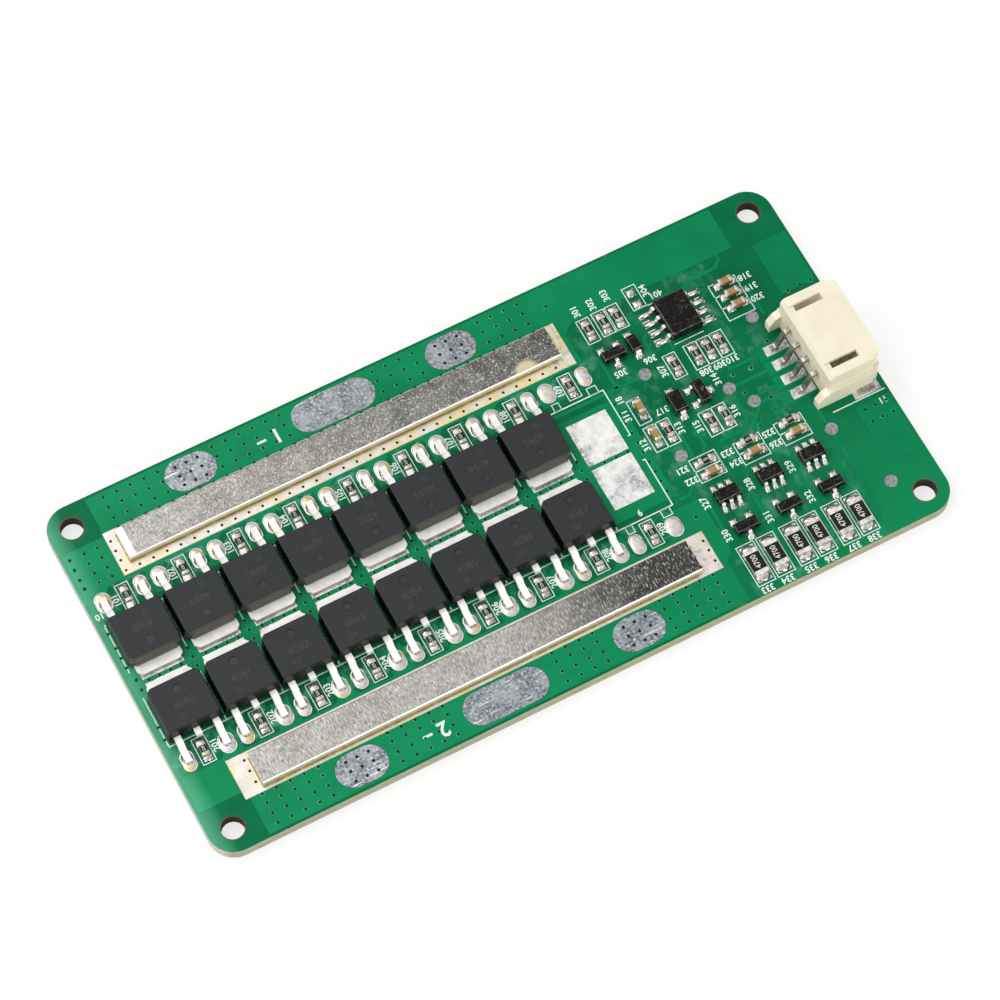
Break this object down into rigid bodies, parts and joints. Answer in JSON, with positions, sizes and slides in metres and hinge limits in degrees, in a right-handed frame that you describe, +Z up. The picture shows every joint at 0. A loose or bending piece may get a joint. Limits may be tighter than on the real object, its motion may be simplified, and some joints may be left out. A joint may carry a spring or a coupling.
{
  "type": "battery management board",
  "caption": "Green circuit board with two rows of power transistors between tinned bus bars, a block of small parts and a side-entry socket.",
  "frame": {"origin": "centre of the board's underside", "axes": "+X towards the socket, which opens that way; +Y towards the edge beside the upper bus bar; +Z up, out of the side that carries the parts"},
  "size_m": [0.09, 0.045, 0.0071],
  "materials": {
    "laminate": "green solder mask, satin gloss, over glass-fibre laminate",
    "tin": "hot-tinned copper, bright",
    "solder": "solder, bright and slightly uneven",
    "bar": "nickelled strip, fine grain",
    "mould": "moulded epoxy, fine spark texture",
    "small_mould": "moulded epoxy, satin",
    "lead": "tinned copper, matt",
    "ceramic_resistor": "ceramic chip with a dark glaze",
    "ceramic_capacitor": "fired ceramic, tan",
    "chip_end": "tinned end metal",
    "housing": "moulded nylon, cream",
    "contact": "tinned brass wire, matt"
  },
  "bodies": {
    "root": {"board": "laminate", "wire_lands": "tin", "bus_lands": "tin", "drain_lands": "tin", "lead_lands": "tin", "part_lands": "tin", "upper_bus_bar": "bar", "lower_bus_bar": "bar", "mosfet_body_1": "mould", "mosfet_body_2": "mould", "mosfet_body_3": "mould", "mosfet_body_4": "mould", "mosfet_body_5": "mould", "mosfet_body_6": "mould", "mosfet_body_7": "mould", "mosfet_body_8": "mould", "mosfet_body_9": "mould", "mosfet_body_10": "mould", "mosfet_body_11": "mould", "mosfet_body_12": "mould", "mosfet_body_13": "mould", "mosfet_body_14": "mould", "mosfet_body_15": "mould", "mosfet_body_16": "mould", "mosfet_frame_1": "lead", "mosfet_frame_2": "lead", "mosfet_frame_3": "lead", "mosfet_frame_4": "lead", "mosfet_frame_5": "lead", "mosfet_frame_6": "lead", "mosfet_frame_7": "lead", "mosfet_frame_8": "lead", "mosfet_frame_9": "lead", "mosfet_frame_10": "lead", "mosfet_frame_11": "lead", "mosfet_frame_12": "lead", "mosfet_frame_13": "lead", "mosfet_frame_14": "lead", "mosfet_frame_15": "lead", "mosfet_frame_16": "lead", "lead_solder": "solder", "gate_resistor_bodies": "ceramic_resistor", "gate_resistor_ends": "chip_end", "signal_resistor_bodies": "ceramic_resistor", "signal_resistor_ends": "chip_end", "balance_resistor_bodies": "ceramic_resistor", "balance_resistor_ends": "chip_end", "capacitor_bodies": "ceramic_capacitor", "capacitor_ends": "chip_end", "control_chip_body": "small_mould", "control_chip_leads": "lead", "monitor_chip_bodies": "small_mould", "monitor_chip_leads": "lead", "transistor_bodies": "small_mould", "transistor_leads": "lead", "diode_bodies": "small_mould", "diode_leads": "lead", "socket_housing": "housing", "socket_contacts": "contact", "socket_anchors": "contact"}
  },
  "joints": []
}
